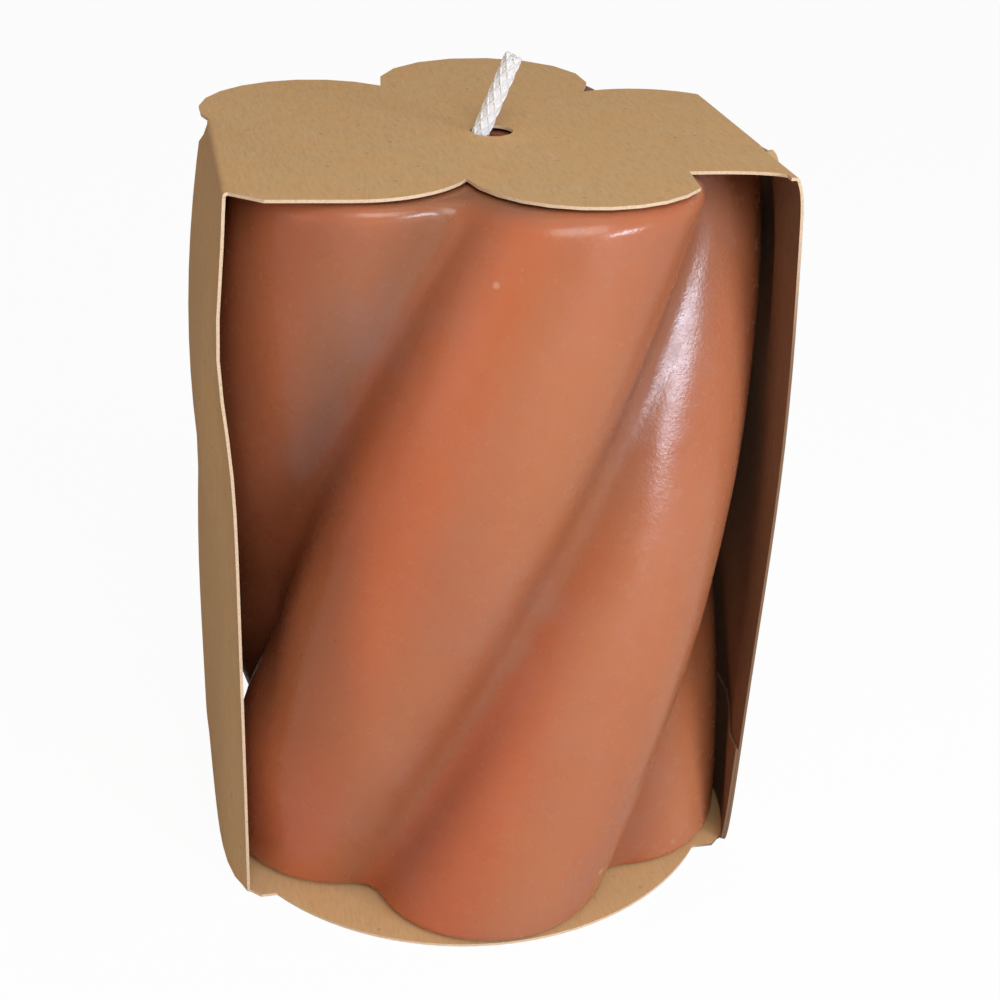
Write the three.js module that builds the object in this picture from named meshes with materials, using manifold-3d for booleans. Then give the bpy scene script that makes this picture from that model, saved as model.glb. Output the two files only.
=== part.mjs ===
// A five-lobed twisted pillar candle standing in a folded kraft-board wrap.
// Millimetres, +Z up, the wrap's open front towards -Y. The origin is in the middle of the wrap, on
// the underside of its bottom card. The wrap's creases run along Y.

import * as THREE from 'three';
import { mergeVertices } from 'three/addons/utils/BufferGeometryUtils.js';
import Module from 'manifold-3d';

const wasm = await Module();
wasm.setup();

// Wax pillar
const waxHeight = 118.4;
const lobeCount = 5;
const lobeRadius = 19.6;
const lobeDistance = 23.7; // from the candle's axis to a lobe's centre
const valleyRadius = 2.0;
const twistDegrees = 97.2; // right-handed, over the whole height
const baseLobeDegrees = 49.4; // the first lobe at the base, from +X
const topRimRadius = 2.8;
const baseRimRadius = 2.0;
const waxPlace = { x: 0.4, y: -1.8 }; // the candle's axis, from the middle of the wrap

// Wick and its tab
const wickRadius = 1.4;
const wickPlace = { x: -0.6, y: -1.7 }; // from the candle's axis
const wickTipLength = 12.1; // what stands above the wax
const wickLeanDegrees = 23;
const wickBendRadius = 5;
const tabRadius = 10;
const tabThickness = 0.3;
const collarHeight = 5;
const collarWall = 0.3;

// Board strip
const board = 0.45;
const foldRadius = 0.7; // outside of a fold
const foldGap = 0.05; // between a panel's end and the fold that carries it
const seamGap = 0.05; // between the glue flap and the right panel
const topPinch = 4.0; // the top folds lie this far inside the lobes' reach
const bottomSpare = 1.4; // and the bottom folds this far outside it
const cornerDraw = 3.7; // how far a bottom fold is drawn in at its front corner
const cornerDrawRun = 6; // length over which that dies away
const cardCusp = 27.8; // from the candle's axis to where two of the top card's lobes meet
const cardOverhang = 0.9; // the top card's lobes reach this far past the wax's
const cardTurnDegrees = 2.1; // and lead them by this much
const wickHoleRadius = 3.2;
const wickHoleShift = 1.9; // the hole is punched this far to the right of the wick
const leftFoldFront = 29.2;
const leftFoldBack = 8.5;
const rightFoldFront = 32.6;
const rightFoldBack = -17;
const rightSlit = 0.2; // between the top card's cut edge and the fold's outer face
const leftCornerReach = 4.4; // the chamfer from the left fold to the front lobe, along X
const leftCornerDrop = 3.9; // and along Y
const rightNotchDepth = 7.5; // from the end of the front right lobe back to the straight edge
const leftLobeStartDegrees = 262; // where the front edge joins the front left lobe
const rightLobeEndDegrees = 323; // where the front right lobe ends
const footDepth = 24; // the panels' half depth at the bottom folds
const footChamfer = 1.5; // the bottom card's corners
const backDepth = 27; // the panels' depth behind the axis, at the top
const edgeCurve = 0.45; // exponent of the panels' front and back edges
const lipOverhang = 0.4; // the bottom card's round lips, past the lobes
const lipShift = -0.7; // and to the left
const flapHeight = 21.5;
const flapRelief = 5; // height above the flap over which the right panel settles back
const panelLift = 0.4; // the right panel's lower end above the table

// Running and standing clearances
const standGap = 0.3; // wax over the bottom card
const headGap = 0.4; // top card over the wax
const sideGap = 0.4; // wax to a side panel
const wickGap = 0.3; // wick to its channel and collar
const tabGap = 0.3; // tab to its recess

// How far the lobes press each side panel out of its plane: where and how much
const press = {
  left: { front: { at: 97, spread: 14.5, by: 1.6 }, back: { at: 42, spread: 34, by: 1.4 } },
  right: { front: { at: 80, spread: 42, by: 1.85 }, back: { at: 98, spread: 44, by: 2 } },
};
const foldRelief = 1.6; // height over which a panel leaves its fold
const slitRelief = 12; // length behind the right fold over which the free edge springs out
const slitDrop = 3.4; // and dips below the top card

// Mesh resolution
const lobeSteps = 10;
const valleySteps = 4;
const twistSteps = 27;
const rimSteps = 4;
const roundSides = 12;
const tabSides = 24;
const foldSteps = 4;
const panelColumns = 12;
const panelRowsBetween = 16;

// Sizes that follow from the ones above
const degrees = Math.PI / 180;
const lobePitch = (2 * Math.PI) / lobeCount;
const lobeReach = lobeDistance + lobeRadius;
const waxBase = board + standGap;
const waxTop = waxBase + waxHeight;
const wrapHeight = waxTop + headGap + board;
const topHalf = lobeReach - topPinch; // from the axis to a top fold's outer face
const bottomHalf = lobeReach + bottomSpare;
const cardReach = lobeReach + cardOverhang;
const cardCuspAlong = cardCusp * Math.cos(lobePitch / 2); // the cusp, seen along its lobe's middle line
const cardCuspGap = cardReach - cardCuspAlong;
const cardLobeRadius = (cardCuspGap ** 2 + cardCusp ** 2 - cardCuspAlong ** 2) / (2 * cardCuspGap);
const cardLobeDistance = cardReach - cardLobeRadius;
const channelRadius = wickRadius + wickGap;
const collarRadius = channelRadius + collarWall;
const recessDepth = tabGap + tabThickness + tabGap;
const tabBase = waxBase + tabGap;
const wick = new THREE.Vector2(waxPlace.x + wickPlace.x, waxPlace.y + wickPlace.y);
const flapBase = foldRadius + foldGap;
const panelTop = wrapHeight - flapBase;

function material(color, roughness, metalness = 0) {
  return new THREE.MeshStandardMaterial({ color, roughness, metalness });
}

const waxMaterial = material(0xb2714f, 0.42);
const cottonMaterial = material(0xf1efe8, 0.85);
const tinMaterial = material(0xb9bcbe, 0.35, 0.9);
const kraftMaterial = material(0xb8946a, 0.88);

// A body lofted through closed rings that all have the same number of points. The quads from point
// mirrorFrom on are split along their other diagonal, so that a sheet's two faces stay parallel.

function roundCap(ring) {
  return THREE.ShapeUtils.triangulateShape(ring.map((p) => new THREE.Vector2(p.x, p.y)), []);
}

function sheetCap(ring) {
  const last = ring.length - 1;
  return ring.slice(0, last / 2).flatMap((_, i) => [[i, i + 1, last - 1 - i], [i, last - 1 - i, last - i]]);
}

function loft(rings, capOf, mirrorFrom = Infinity) {
  const count = rings[0].length;
  const index = [];
  const top = (rings.length - 1) * count;
  for (const [a, b, c] of capOf(rings[0])) {
    index.push(a, c, b);
  }
  for (let row = 0; row + 1 < rings.length; row++) {
    for (let i = 0; i < count; i++) {
      const j = (i + 1) % count;
      const low = row * count;
      const high = low + count;
      if (i < mirrorFrom) {
        index.push(low + i, low + j, high + j, low + i, high + j, high + i);
      } else {
        index.push(low + i, low + j, high + i, low + j, high + j, high + i);
      }
    }
  }
  for (const [a, b, c] of capOf(rings[rings.length - 1])) {
    index.push(top + a, top + b, top + c);
  }
  const geometry = new THREE.BufferGeometry();
  const places = rings.flat().flatMap((p) => p.toArray());
  geometry.setAttribute('position', new THREE.Float32BufferAttribute(places, 3));
  geometry.setIndex(index);
  geometry.computeVertexNormals();
  return geometry;
}

function steps(count) {
  return Array.from({ length: count + 1 }, (_, i) => i / count);
}

// Solids for joining and cutting

function solid(geometry) {
  const bare = geometry.clone();
  bare.deleteAttribute('normal');
  bare.deleteAttribute('uv');
  const merged = mergeVertices(bare);
  return new wasm.Manifold(new wasm.Mesh({
    numProp: 3,
    vertProperties: Float32Array.from(merged.attributes.position.array),
    triVerts: Uint32Array.from(merged.index.array),
  }));
}

function geometryOf(body) {
  const mesh = body.getMesh();
  const geometry = new THREE.BufferGeometry();
  geometry.setAttribute('position', new THREE.BufferAttribute(Float32Array.from(mesh.vertProperties), 3));
  geometry.setIndex(new THREE.BufferAttribute(Uint32Array.from(mesh.triVerts), 1));
  geometry.computeVertexNormals();
  return geometry;
}

function drum(radius, from, to, at, sides = roundSides) {
  const geometry = new THREE.CylinderGeometry(radius, radius, to - from, sides);
  geometry.rotateX(Math.PI / 2);
  geometry.translate(at.x, at.y, (from + to) / 2);
  return solid(geometry);
}

function plate(shape, from) {
  const geometry = new THREE.ExtrudeGeometry(shape, {
    depth: board,
    bevelEnabled: false,
    curveSegments: lobeSteps,
  });
  geometry.translate(0, 0, from);
  return solid(geometry);
}

// The wax: five round lobes joined by valley fillets, turned as it rises

function lobeAngle(lobe, rise) {
  return (baseLobeDegrees + twistDegrees * rise) * degrees + lobe * lobePitch;
}

function polar(radius, angle) {
  return new THREE.Vector2(radius * Math.cos(angle), radius * Math.sin(angle));
}

function waxSection(inset) {
  const radius = lobeRadius - inset;
  const fillet = valleyRadius + inset;
  const across = lobeDistance * Math.sin(lobePitch / 2);
  const along = lobeDistance * Math.cos(lobePitch / 2);
  const valleyDistance = along + Math.sqrt((radius + fillet) ** 2 - across ** 2);
  const valley = new THREE.Vector2(valleyDistance, 0).rotateAround(new THREE.Vector2(), lobePitch / 2);
  const tangent = Math.atan2(valley.y, valley.x - lobeDistance);
  const points = [];
  for (let lobe = 0; lobe < lobeCount; lobe++) {
    const turn = lobe * lobePitch;
    const lobeCentre = polar(lobeDistance, turn);
    const valleyCentre = valley.clone().rotateAround(new THREE.Vector2(), turn);
    for (const t of steps(lobeSteps)) {
      const angle = turn - tangent + 2 * tangent * t;
      points.push(lobeCentre.clone().add(polar(radius, angle)));
    }
    for (const t of steps(valleySteps).slice(1, -1)) {
      const start = turn + tangent + Math.PI;
      const angle = start + (lobePitch - 2 * tangent) * t;
      points.push(valleyCentre.clone().add(polar(fillet, angle)));
    }
  }
  return points;
}

function waxRings() {
  const stations = [];
  for (const t of steps(rimSteps).slice(0, -1)) {
    const angle = (t * Math.PI) / 2;
    stations.push([baseRimRadius * (1 - Math.sin(angle)), baseRimRadius * (1 - Math.cos(angle))]);
  }
  const straight = waxHeight - baseRimRadius - topRimRadius;
  for (const t of steps(twistSteps)) {
    stations.push([0, baseRimRadius + straight * t]);
  }
  for (const t of steps(rimSteps).slice(1)) {
    const angle = (t * Math.PI) / 2;
    stations.push([topRimRadius * (1 - Math.cos(angle)), waxHeight - topRimRadius * (1 - Math.sin(angle))]);
  }
  return stations.map(([inset, height]) => {
    const turn = lobeAngle(0, height / waxHeight);
    return waxSection(inset).map((p) => {
      const q = p.rotateAround(new THREE.Vector2(), turn);
      return new THREE.Vector3(waxPlace.x + q.x, waxPlace.y + q.y, waxBase + height);
    });
  });
}

function waxBody() {
  const recess = drum(tabRadius + tabGap, waxBase - 1, waxBase + recessDepth, wick, tabSides);
  const collarBore = drum(collarRadius + wickGap, waxBase - 1, tabBase + collarHeight + tabGap, wick);
  const channel = drum(channelRadius / Math.cos(Math.PI / roundSides), waxBase - 1, waxTop + 1, wick);
  const pillar = solid(loft(waxRings(), roundCap));
  return geometryOf(pillar.subtract(recess).subtract(collarBore).subtract(channel));
}

// The wick: straight up through the wax, then a short bend and the leaning tip

function wickBody() {
  const lean = wickLeanDegrees * degrees;
  const bendStart = waxTop - wickBendRadius * Math.tan(lean / 2);
  const stations = [];
  for (const t of steps(3)) {
    stations.push({ x: 0, z: tabBase + (bendStart - tabBase) * t, lean: 0 });
  }
  for (const t of steps(foldSteps).slice(1)) {
    const angle = lean * t;
    const out = wickBendRadius * (1 - Math.cos(angle));
    stations.push({ x: out, z: bendStart + wickBendRadius * Math.sin(angle), lean: angle });
  }
  const bendEnd = stations[stations.length - 1];
  for (const t of steps(2).slice(1)) {
    const run = wickTipLength * t;
    stations.push({ x: bendEnd.x + run * Math.sin(lean), z: bendEnd.z + run * Math.cos(lean), lean });
  }
  return loft(stations.map((station) => Array.from({ length: roundSides }, (_, i) => {
    const angle = (2 * Math.PI * i) / roundSides;
    const across = wickRadius * Math.cos(angle);
    return new THREE.Vector3(
      wick.x + station.x + across * Math.cos(station.lean),
      wick.y + wickRadius * Math.sin(angle),
      station.z - across * Math.sin(station.lean),
    );
  })), roundCap);
}

// The tab: a thin disc with a collar crimped round the wick's foot

function wickTab() {
  const bore = channelRadius / Math.cos(Math.PI / tabSides);
  const neck = bore + collarWall;
  const profile = [
    [bore, 0],
    [tabRadius, 0],
    [tabRadius, tabThickness],
    [neck + tabThickness, tabThickness],
    [neck, 2 * tabThickness],
    [neck, collarHeight],
    [bore, collarHeight],
    [bore, 0],
  ].map(([r, z]) => new THREE.Vector2(r, z));
  const geometry = new THREE.LatheGeometry(profile, tabSides);
  geometry.rotateX(Math.PI / 2);
  geometry.translate(wick.x, wick.y, tabBase);
  return geometry;
}

// Folds: a quarter turn of board along a crease, with a short flat tail inside the card. The rows
// are places along the crease, and outerAt gives the fold's outer face there.

function foldBody(side, outerAt, from, toward, rows) {
  const quarter = (radius) => steps(foldSteps).map((t) => {
    const angle = (t * Math.PI) / 2;
    return new THREE.Vector2(radius * Math.sin(angle), foldRadius - radius * Math.cos(angle));
  });
  const outside = [new THREE.Vector2(-foldRadius, 0), ...quarter(foldRadius)];
  const inside = [new THREE.Vector2(-foldRadius, board), ...quarter(foldRadius - board)];
  const section = [...outside, ...inside.reverse()];
  return solid(loft(rows.map((y) => {
    const base = outerAt(y) - foldRadius;
    const ring = section.map((p) => new THREE.Vector3(side * (base + p.x), y, from + toward * p.y));
    return side * toward > 0 ? ring.reverse() : ring;
  }), sheetCap));
}

function bottomFold(y) {
  return bottomHalf - cornerDraw * Math.exp(-Math.max(0, y + footDepth) / cornerDrawRun);
}

// Top card: its own five lobes, cut off along the two folds

function cardLobe(lobe) {
  const angle = lobeAngle(lobe, 1) + cardTurnDegrees * degrees;
  const centre = polar(cardLobeDistance, angle);
  const cusp = (turn) => polar(cardCusp, angle + turn).sub(centre).angle();
  return { centre, from: cusp(-lobePitch / 2), to: cusp(lobePitch / 2) };
}

function arc(shape, { centre }, from, to) {
  const sweep = THREE.MathUtils.euclideanModulo(to - from, 2 * Math.PI);
  for (const t of steps(lobeSteps)) {
    const angle = from + sweep * t;
    shape.lineTo(centre.x + cardLobeRadius * Math.cos(angle), centre.y + cardLobeRadius * Math.sin(angle));
  }
}

function topCard() {
  const [backLeft, frontLeft, frontRight, right, back] = [0, 1, 2, 3, 4].map(cardLobe);
  const flat = topHalf - foldRadius;
  const slitEdge = topHalf - rightSlit;
  const shape = new THREE.Shape();
  shape.moveTo(-flat, -leftFoldFront);
  shape.lineTo(leftCornerReach - flat, -leftFoldFront - leftCornerDrop);
  arc(shape, frontLeft, leftLobeStartDegrees * degrees, frontLeft.to);
  arc(shape, frontRight, frontRight.from, rightLobeEndDegrees * degrees);
  const notch = shape.currentPoint.clone().add(new THREE.Vector2(foldRadius, rightNotchDepth));
  shape.lineTo(notch.x, notch.y);
  shape.quadraticCurveTo(slitEdge - foldRadius, notch.y - foldRadius, flat, -rightFoldFront);
  shape.lineTo(flat, rightFoldBack);
  shape.lineTo(slitEdge, rightFoldBack + foldRadius);
  arc(shape, right, Math.acos((slitEdge - right.centre.x) / cardLobeRadius), right.to);
  arc(shape, back, back.from, back.to);
  arc(shape, backLeft, backLeft.from, 2 * Math.PI - Math.acos((-flat - backLeft.centre.x) / cardLobeRadius));
  shape.lineTo(-flat, leftFoldBack);
  shape.closePath();
  const face = plate(shape, wrapHeight - board);
  const leftFold = foldBody(-1, () => topHalf, wrapHeight, -1, [-leftFoldFront, leftFoldBack]);
  const rightFold = foldBody(1, () => topHalf, wrapHeight, -1, [-rightFoldFront, rightFoldBack]);
  const hole = drum(wickHoleRadius, wrapHeight - 2 * board, wrapHeight + board,
    new THREE.Vector2(wick.x + wickHoleShift, wick.y), 2 * roundSides);
  return geometryOf(face.add(leftFold).add(rightFold).subtract(hole));
}

// Bottom card: folds at its sides, with a round lip to the front and to the back

function bottomCard() {
  const flapInset = board + seamGap;
  const lipRadius = lobeReach + lipOverhang;
  const lipAngle = Math.asin((footDepth + footChamfer) / lipRadius);
  const rows = steps(panelColumns).map((t) => THREE.MathUtils.lerp(-footDepth, footDepth, t));
  const edge = (y, inset) => bottomFold(y) - inset - foldRadius;
  const corner = (side, end, inset) => new THREE.Vector2(
    side * (edge(end * footDepth, inset) - footChamfer),
    end * (footDepth + footChamfer),
  );
  const lip = (start) => steps(3 * lobeSteps).map((t) => {
    const angle = start + lipAngle + (Math.PI - 2 * lipAngle) * t;
    return polar(lipRadius, angle).add(new THREE.Vector2(lipShift, 0));
  });
  const outline = [
    ...rows.map((y) => new THREE.Vector2(edge(y, flapInset), y)),
    corner(1, 1, flapInset),
    ...lip(0),
    corner(-1, 1, 0),
    ...rows.map((y) => new THREE.Vector2(-edge(y, 0), y)).reverse(),
    corner(-1, -1, 0),
    ...lip(Math.PI),
    corner(1, -1, flapInset),
  ];
  const leftFold = foldBody(-1, bottomFold, 0, 1, rows);
  const rightFold = foldBody(1, (y) => bottomFold(y) - flapInset, 0, 1, rows);
  return geometryOf(plate(new THREE.Shape(outline), 0).add(leftFold).add(rightFold));
}

// Side panels: sheets that the lobes press out of their plane. A panel clears every lobe that
// stands at or in front of a place on it, so the wrap pulls off forwards.

function rimInset(height) {
  const depth = (radius, distance) => {
    const left = THREE.MathUtils.clamp((radius - distance) / radius, 0, 1);
    return radius * (1 - Math.sqrt(1 - left ** 2));
  };
  return depth(baseRimRadius, height) + depth(topRimRadius, waxHeight - height);
}

function waxEdge(side, y, z) {
  const height = THREE.MathUtils.clamp(z - waxBase, 0, waxHeight);
  const radius = lobeRadius - rimInset(height);
  const edges = Array.from({ length: lobeCount }, (_, lobe) => {
    const angle = lobeAngle(lobe, height / waxHeight);
    const ahead = THREE.MathUtils.clamp((waxPlace.y + lobeDistance * Math.sin(angle) - y) / radius, 0, 1);
    return side * (waxPlace.x + lobeDistance * Math.cos(angle)) + radius * Math.sqrt(1 - ahead ** 2);
  });
  return Math.max(...edges);
}

function slitOpen(y) {
  return THREE.MathUtils.smoothstep(y, rightFoldBack, rightFoldBack + slitRelief);
}

function panelFace(side, y, z) {
  const plane = THREE.MathUtils.lerp(bottomFold(y), topHalf, z / wrapHeight);
  const name = side < 0 ? 'left' : 'right';
  const across = THREE.MathUtils.clamp((y + footDepth) / (2 * footDepth), 0, 1);
  const blend = (key) => THREE.MathUtils.lerp(press[name].front[key], press[name].back[key], across);
  const bulge = blend('by') * Math.exp(-(((z - blend('at')) / blend('spread')) ** 2));
  const leave = (distance) => 1 - Math.exp(-Math.max(0, distance) / foldRelief);
  const top = side > 0 ? THREE.MathUtils.lerp(leave(panelTop - z), 1, slitOpen(y)) : leave(panelTop - z);
  const settled = THREE.MathUtils.smoothstep(z, flapHeight + foldRadius, flapHeight + flapRelief);
  const seam = side > 0 ? (board + seamGap) * (1 - settled) : 0;
  const stride = (leftFoldFront + backDepth) / panelColumns;
  const need = waxEdge(side, y + stride, z) + sideGap + board + seam - plane;
  return plane + Math.max(bulge * leave(z - flapBase) * top, need, 0);
}

function edgeDepth(z, topDepth) {
  const rise = THREE.MathUtils.clamp(z / (wrapHeight - foldRadius), 0, 1);
  return footDepth + (topDepth - footDepth) * rise ** edgeCurve;
}

function panelRows(from, to) {
  const near = [0, 0.7, 1.6, 2.8, 4.5, 7, 11];
  const span = to - from;
  const far = near[near.length - 1];
  const middle = steps(panelRowsBetween).slice(1, -1).map((t) => far + (span - 2 * far) * t);
  return [...near, ...middle, ...near.map((d) => span - d).reverse()].map((d) => from + d);
}

function sheet(side, rows, topFront, outerAt, dropAt = () => 0) {
  return loft(rows.map((level) => {
    const line = steps(panelColumns).map((t) => {
      const y = THREE.MathUtils.lerp(-edgeDepth(level, topFront), edgeDepth(level, backDepth), t);
      const z = level - dropAt(y) * THREE.MathUtils.smoothstep(level, flapHeight, panelTop);
      return new THREE.Vector3(side * outerAt(y, z), y, z);
    });
    const inside = line.map((p) => p.clone().setX(p.x - side * board)).reverse();
    const ring = [...line, ...inside];
    return side > 0 ? ring : ring.reverse();
  }), sheetCap, panelColumns + 1);
}

function leftPanel() {
  return sheet(-1, panelRows(flapBase, panelTop), leftFoldFront, (y, z) => panelFace(-1, y, z));
}

function rightRows() {
  const shared = [flapBase, flapHeight];
  const own = panelRows(panelLift, panelTop);
  return [...own.filter((z) => shared.every((s) => Math.abs(z - s) > board / 2)), ...shared]
    .sort((a, b) => a - b);
}

function rightPanel() {
  return sheet(1, rightRows(), rightFoldFront, (y, z) => panelFace(1, y, z), (y) => slitDrop * slitOpen(y));
}

function glueFlap() {
  const rows = rightRows().filter((z) => z >= flapBase && z <= flapHeight);
  return sheet(1, rows, rightFoldFront, (y, z) => panelFace(1, y, z) - board - seamGap);
}

const candle = new THREE.Group();

function piece(name, geometry, surface) {
  const mesh = new THREE.Mesh(geometry, surface);
  mesh.name = name;
  candle.add(mesh);
}

piece('wax_body', waxBody(), waxMaterial);
piece('wick', wickBody(), cottonMaterial);
piece('wick_tab', wickTab(), tinMaterial);
piece('top_card', topCard(), kraftMaterial);
piece('left_panel', leftPanel(), kraftMaterial);
piece('right_panel', rightPanel(), kraftMaterial);
piece('bottom_card', bottomCard(), kraftMaterial);
piece('glue_flap', glueFlap(), kraftMaterial);

export default candle;
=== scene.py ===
"""Looks of a five-lobed twisted pillar candle that stands in a folded kraft-board wrap.

Everything is in metres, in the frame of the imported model: +Z up, the wrap's open front towards -Y.
"""

import math

import bpy
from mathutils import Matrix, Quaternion, Vector


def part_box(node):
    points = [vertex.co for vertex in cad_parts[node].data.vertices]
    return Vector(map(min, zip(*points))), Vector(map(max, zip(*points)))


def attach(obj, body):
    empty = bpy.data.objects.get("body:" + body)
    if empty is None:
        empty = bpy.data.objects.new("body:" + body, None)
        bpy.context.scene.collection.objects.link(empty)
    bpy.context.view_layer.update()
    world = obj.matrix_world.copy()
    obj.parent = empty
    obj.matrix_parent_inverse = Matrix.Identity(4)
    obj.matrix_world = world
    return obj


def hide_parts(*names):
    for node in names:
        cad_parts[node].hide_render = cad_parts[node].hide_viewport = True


bl_info = {
    "name": "Twisted Pillar Candle",
    "version": (1, 0, 0),
    "blender": (4, 5, 0),
    "location": "View3D > Sidebar > Candle",
    "description": "A twisted wax pillar with its wick, in a folded kraft-board wrap",
    "category": "Object",
}

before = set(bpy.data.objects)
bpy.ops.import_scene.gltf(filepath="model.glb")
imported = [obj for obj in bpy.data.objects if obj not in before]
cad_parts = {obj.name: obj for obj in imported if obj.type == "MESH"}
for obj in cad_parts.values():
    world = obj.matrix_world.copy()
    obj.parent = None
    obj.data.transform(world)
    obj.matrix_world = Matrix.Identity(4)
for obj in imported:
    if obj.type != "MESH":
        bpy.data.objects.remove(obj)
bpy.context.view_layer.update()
WAX_LOW, WAX_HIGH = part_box("wax_body")
WICK_LOW, WICK_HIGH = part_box("wick")
TAB_LOW, TAB_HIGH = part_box("wick_tab")
WICK_FOOT = (TAB_LOW + TAB_HIGH) / 2
MM = 0.001


# Sizes and colours that a user may change

class WaxSettings(bpy.types.PropertyGroup):
    """The twisted wax pillar"""

    lobes: bpy.props.IntProperty(
        name="Lobes", description="Number of lobes round the pillar", default=5, min=3)
    lobe_radius: bpy.props.FloatProperty(
        name="Lobe radius", description="Radius of one lobe", default=19.6 * MM, unit="LENGTH")
    lobe_distance: bpy.props.FloatProperty(
        name="Lobe distance", description="From the pillar's axis to a lobe's centre",
        default=23.7 * MM, unit="LENGTH")
    axis: bpy.props.FloatVectorProperty(
        name="Axis", description="Place of the pillar's axis in the wrap", size=2,
        default=(0.4 * MM, -1.8 * MM), subtype="XYZ_LENGTH")
    twist: bpy.props.FloatProperty(
        name="Twist", description="Turn from the base to the top", default=math.radians(97.2),
        subtype="ANGLE")
    base_turn: bpy.props.FloatProperty(
        name="Base turn", description="Direction of the first lobe at the base, from +X",
        default=math.radians(49.4), subtype="ANGLE")
    top_rim: bpy.props.FloatProperty(
        name="Top rim", description="Rounding of the top edge", default=2.8 * MM, unit="LENGTH")
    base_rim: bpy.props.FloatProperty(
        name="Base rim", description="Rounding of the base edge", default=2.0 * MM, unit="LENGTH")
    sink: bpy.props.FloatProperty(
        name="Sink", description="Radius of the hollow at the wick", default=2.9 * MM, unit="LENGTH")
    swell: bpy.props.FloatVectorProperty(
        name="Swell", description="How far the lobe at the left is pushed out, low down", size=3,
        default=(-2.2 * MM, -0.6 * MM, 0), subtype="XYZ_LENGTH")
    swell_place: bpy.props.FloatVectorProperty(
        name="Swell place", description="Middle of that fuller part", size=3,
        default=(-37 * MM, -2 * MM, 23 * MM), subtype="XYZ_LENGTH")
    sag: bpy.props.FloatVectorProperty(
        name="Sag", description="How far the rim sinks under the board's free edge at the right",
        size=3, default=(-1.2 * MM, 0, -3.2 * MM), subtype="XYZ_LENGTH")
    sag_place: bpy.props.FloatVectorProperty(
        name="Sag place", description="Middle of the sunk rim", size=3,
        default=(41 * MM, 7 * MM, 119 * MM), subtype="XYZ_LENGTH")
    dent: bpy.props.FloatProperty(
        name="Dents", description="Depth of the soft hollows left by the mould", default=0.3 * MM,
        unit="LENGTH")
    colour: bpy.props.FloatVectorProperty(
        name="Wax", description="Main colour of the wax", subtype="COLOR",
        size=3, min=0, max=1, default=(0.49, 0.167, 0.068))
    deep: bpy.props.FloatVectorProperty(
        name="Deep wax", description="Colour of the richer streaks", subtype="COLOR",
        size=3, min=0, max=1, default=(0.455, 0.148, 0.066))
    bloom: bpy.props.FloatVectorProperty(
        name="Bloom", description="Colour of the dusty film on the wax", subtype="COLOR",
        size=3, min=0, max=1, default=(0.44, 0.235, 0.18))
    # Painted shade: this factor darkens the wax colour in the valleys between the lobes.
    valley: bpy.props.FloatVectorProperty(
        name="Valley", description="Factor on the colour in the valleys", size=3, min=0,
        default=(0.74, 0.68, 0.64))
    # Painted shade: a lavender tint on the shade in the valleys near the top.
    high_valley_shade: bpy.props.FloatVectorProperty(
        name="High valley", description="Further factor on the colour in the valleys near the top",
        size=3, min=0, default=(0.92, 1.12, 1.35))
    # Painted light: what faces left is made brighter and warmer, as if lit from the left.
    left: bpy.props.FloatVectorProperty(
        name="Left", description="Factor on the colour of what faces left", size=3, min=0,
        default=(1.2, 0.97, 0.88))
    # Painted shade: the lobe beside the left panel, in the panel's shade, is made darker.
    far_left_shade: bpy.props.FloatVectorProperty(
        name="Far left", description="Factor on the colour of the lobe beside the left panel",
        size=3, min=0, default=(0.78, 0.88, 0.94))


class WickSettings(bpy.types.PropertyGroup):
    """The braided cotton wick"""

    strands: bpy.props.IntProperty(
        name="Strands", description="Strands wound each way round", default=6, min=2)
    strand_radius: bpy.props.FloatProperty(
        name="Strand radius", description="Radius of one strand", default=0.42 * MM, unit="LENGTH")
    pitch: bpy.props.FloatProperty(
        name="Pitch", description="Height of one turn of a strand", default=14 * MM, unit="LENGTH")
    lean: bpy.props.FloatProperty(
        name="Lean", description="Tilt of the free tip to the right", default=math.radians(23),
        subtype="ANGLE")
    bend_radius: bpy.props.FloatProperty(
        name="Bend radius", description="Radius of the bend above the wax", default=5 * MM,
        unit="LENGTH")
    short: bpy.props.FloatProperty(
        name="Short", description="How far the free tip ends below its full length", default=1.4 * MM,
        unit="LENGTH")
    colour: bpy.props.FloatVectorProperty(
        name="Cotton", description="Colour of the cotton", subtype="COLOR",
        size=3, min=0, max=1, default=(0.86, 0.85, 0.83))


class BoardSettings(bpy.types.PropertyGroup):
    """The kraft board of the wrap"""

    thickness: bpy.props.FloatProperty(
        name="Thickness", description="Thickness of the board", default=0.45 * MM, unit="LENGTH")
    colour: bpy.props.FloatVectorProperty(
        name="Kraft", description="Colour of the board's face", subtype="COLOR",
        size=3, min=0, max=1, default=(0.67, 0.43, 0.205))
    corner: bpy.props.FloatVectorProperty(
        name="Corner", description="Depth and height where the left panel's slanted back corner starts",
        size=2, default=(8 * MM, 119.2 * MM), subtype="XYZ_LENGTH")
    corner_slope: bpy.props.FloatProperty(
        name="Corner slope", description="Slope of that corner", default=math.radians(22),
        subtype="ANGLE")
    # Painted shade: a darker kraft colour for the side panels' inner faces, which lie in shade inside
    # the wrap.
    inside: bpy.props.FloatVectorProperty(
        name="Inside", description="Colour of the side panels' inner faces", subtype="COLOR", size=3,
        min=0, max=1, default=(0.22, 0.12, 0.062))
    dark: bpy.props.FloatVectorProperty(
        name="Dark fibre", description="Colour of the darker fibres", subtype="COLOR",
        size=3, min=0, max=1, default=(0.44, 0.245, 0.105))
    cut: bpy.props.FloatVectorProperty(
        name="Cut edge", description="Colour of the board's cut edges", subtype="COLOR",
        size=3, min=0, max=1, default=(0.78, 0.56, 0.36))


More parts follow.
